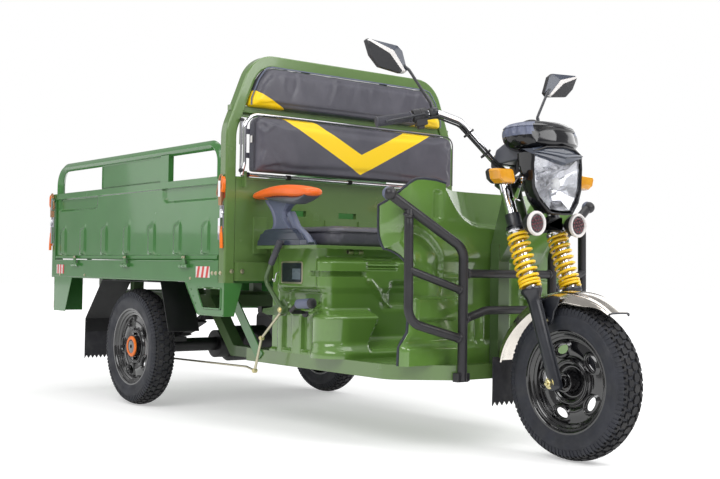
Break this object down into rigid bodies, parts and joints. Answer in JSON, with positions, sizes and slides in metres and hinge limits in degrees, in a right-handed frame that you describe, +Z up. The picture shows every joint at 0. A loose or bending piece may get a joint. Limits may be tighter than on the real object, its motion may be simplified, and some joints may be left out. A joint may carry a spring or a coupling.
{
  "type": "electric cargo tricycle",
  "caption": "Electric three wheeled cargo vehicle with a flat load bed behind an open rider's seat, folding sides, leg shield, tube guard and sprung front fork.",
  "frame": {"origin": "on the ground, under the middle of the vehicle's overall box", "axes": "+X forward, +Y to the rider's left, +Z up"},
  "size_m": [3.095, 1.186, 1.414],
  "materials": {
    "frame_paint": "satin dark green frame paint",
    "bed_paint": "gloss green paint",
    "body_paint": "gloss olive green paint",
    "black_paint": "semi gloss black paint",
    "guard_paint": "semi gloss black tube",
    "rim_paint": "gloss black rim paint",
    "tyre_rubber": "matte tyre rubber",
    "flap_rubber": "matte rubber",
    "grip_rubber": "ribbed rubber",
    "chrome": "polished chrome",
    "fender_steel": "polished steel",
    "zinc_steel": "zinc plated steel",
    "spring_paint": "yellow spring paint",
    "seat_vinyl": "dark grey vinyl",
    "arm_vinyl": "orange moulded pad",
    "stalk_plastic": "grey moulded plastic",
    "black_plastic": "black moulded plastic",
    "pod_plastic": "gloss black plastic",
    "clear_lens": "clear lens",
    "amber_lens": "amber lens",
    "tail_lens": "red lens",
    "lamp_shell": "dark lamp shell",
    "latch_handle": "orange latch handles",
    "battery_case": "battery case"
  },
  "bodies": {
    "chassis": {"main_frame": "frame_paint", "footboard": "body_paint", "leg_shield": "body_paint", "crash_guard": "guard_paint", "seat_base": "body_paint", "battery_block": "battery_case", "rear_axle": "black_paint", "leaf_springs": "black_paint", "rear_mudguards": "black_paint", "rear_mudflaps": "flap_rubber", "load_bed": "bed_paint", "bed_front_wall": "body_paint", "hoop": "body_paint", "upper_backrest": "seat_vinyl", "tail_lamps": "tail_lens", "panel_latches": "latch_handle", "parking_brake": "black_paint", "shift_lever": "stalk_plastic"},
    "steering": {"fork": "black_paint", "fork_springs": "spring_paint", "front_fender": "fender_steel", "front_mudflap": "flap_rubber", "headlight": "pod_plastic", "headlight_lens": "clear_lens", "instrument_pod": "pod_plastic", "turn_signals": "amber_lens", "aux_lamps": "lamp_shell", "handlebar": "chrome", "grips": "grip_rubber", "hand_controls": "black_plastic", "mirrors": "black_plastic"},
    "front_wheel": {"front_tyre": "tyre_rubber", "front_rim": "rim_paint"},
    "rear_wheel_left": {"rear_left_tyre": "tyre_rubber", "rear_left_rim": "rim_paint"},
    "rear_wheel_right": {"rear_right_tyre": "tyre_rubber", "rear_right_rim": "rim_paint"},
    "left_panel": {"side_panel_left": "bed_paint"},
    "right_panel": {"side_panel_right": "bed_paint"},
    "rear_gate": {"tailgate": "bed_paint"},
    "bench": {"bench_frame": "chrome", "bench_cushion": "seat_vinyl"},
    "seat": {"seat_board": "body_paint", "seat_cushion": "seat_vinyl", "armrests": "stalk_plastic", "arm_pads": "arm_vinyl"}
  },
  "joints": [
    {"name": "steer", "type": "hinge", "parent": "chassis", "child": "steering", "pos_m": [1.2495, 0, 0.25], "axis": [-0.342, 0, 0.9397], "range_deg": [-35, 35]},
    {"name": "front_wheel_spin", "type": "hinge", "parent": "steering", "child": "front_wheel", "pos_m": [1.2975, 0, 0.25], "axis": [0, 1, 0], "continuous": true},
    {"name": "rear_left_spin", "type": "hinge", "parent": "chassis", "child": "rear_wheel_left", "pos_m": [-0.7125, 0.503, 0.25], "axis": [0, 1, 0], "continuous": true},
    {"name": "rear_right_spin", "type": "hinge", "parent": "chassis", "child": "rear_wheel_right", "pos_m": [-0.7125, -0.503, 0.25], "axis": [0, 1, 0], "continuous": true},
    {"name": "left_panel_fold", "type": "hinge", "parent": "chassis", "child": "left_panel", "pos_m": [-0.7125, 0.585, 0.6], "axis": [-1, 0, 0], "range_deg": [0, 170]},
    {"name": "right_panel_fold", "type": "hinge", "parent": "chassis", "child": "right_panel", "pos_m": [-0.7125, -0.585, 0.6], "axis": [1, 0, 0], "range_deg": [0, 170]},
    {"name": "tailgate_fold", "type": "hinge", "parent": "chassis", "child": "rear_gate", "pos_m": [-1.5165, 0, 0.6], "axis": [0, -1, 0], "range_deg": [0, 170]},
    {"name": "bench_fold", "type": "hinge", "parent": "chassis", "child": "bench", "pos_m": [0.1075, 0, 0.948], "axis": [0, -1, 0], "range_deg": [0, 90]},
    {"name": "seat_lift", "type": "hinge", "parent": "chassis", "child": "seat", "pos_m": [0.4875, 0, 0.658], "axis": [0, 1, 0], "range_deg": [0, 55]}
  ]
}
